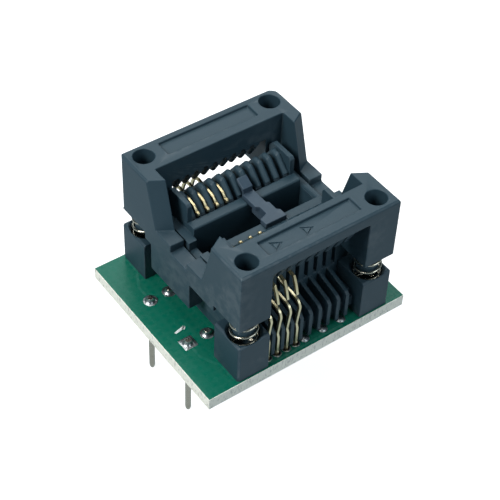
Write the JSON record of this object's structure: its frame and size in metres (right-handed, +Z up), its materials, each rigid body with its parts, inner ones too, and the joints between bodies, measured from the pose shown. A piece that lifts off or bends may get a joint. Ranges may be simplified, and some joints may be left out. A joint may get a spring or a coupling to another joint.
{
  "type": "ic programming adapter",
  "caption": "Open-top test socket for small-outline chips on a green adapter board with round dual-in-line pins; the sprung cover is pushed down to open the contacts.",
  "frame": {"origin": "centre of the pattern of eight board pins, on the underside of the circuit board", "axes": "+Z up out of the board towards the cover's top, +X along the contact rows from the pins' end to the free end of the board, +Y across the rows from the front row to the rear row; the board pins point along -Z"},
  "size_m": [0.027, 0.0234, 0.0277],
  "materials": {
    "black_resin": "moulded glass-filled resin, satin",
    "grey_resin": "moulded resin, satin, slightly lighter",
    "solder_mask": "green solder mask with cream glass-fibre edge",
    "gold_plate": "gold-plated copper alloy",
    "tinned_pin": "tinned, satin",
    "solder": "bright solder",
    "spring_steel": "bright drawn wire"
  },
  "bodies": {
    "base": {"circuit_board": "solder_mask", "pin_solder_joints": "solder", "contact_solder_joints": "solder", "spare_hole_solder": "solder", "dip_pin_1": "tinned_pin", "dip_pin_2": "tinned_pin", "dip_pin_3": "tinned_pin", "dip_pin_4": "tinned_pin", "dip_pin_5": "tinned_pin", "dip_pin_6": "tinned_pin", "dip_pin_7": "tinned_pin", "dip_pin_8": "tinned_pin", "socket_base": "black_resin", "package_stop": "grey_resin", "spring_front_left": "spring_steel", "spring_front_right": "spring_steel", "spring_rear_left": "spring_steel", "spring_rear_right": "spring_steel"},
    "cover": {"cover": "black_resin"},
    "front_contacts": {"contact_front_1": "gold_plate", "contact_front_2": "gold_plate", "contact_front_3": "gold_plate", "contact_front_4": "gold_plate"},
    "rear_contacts": {"contact_rear_1": "gold_plate", "contact_rear_2": "gold_plate", "contact_rear_3": "gold_plate", "contact_rear_4": "gold_plate"}
  },
  "joints": [
    {"name": "cover_slide", "type": "slide", "parent": "base", "child": "cover", "axis": [0, 0, 1], "range_m": [-0.0023, 0], "stiffness_N_per_m": 2500, "springref_m": 0.0016, "deforming": ["spring_front_left", "spring_front_right", "spring_rear_left", "spring_rear_right"]},
    {"name": "front_contacts_flex", "type": "hinge", "parent": "base", "child": "front_contacts", "pos_m": [0.00405, -0.01045, -0.0003], "axis": [1, 0, 0], "range_deg": [0, 3.4]},
    {"name": "rear_contacts_flex", "type": "hinge", "parent": "base", "child": "rear_contacts", "pos_m": [0.00405, 0.01045, -0.0003], "axis": [-1, 0, 0], "range_deg": [0, 3.4]}
  ],
  "couplings": [
    {"joint": "front_contacts_flex", "follows": "cover_slide", "rad_per_m": -25.8},
    {"joint": "rear_contacts_flex", "follows": "cover_slide", "rad_per_m": -25.8}
  ]
}
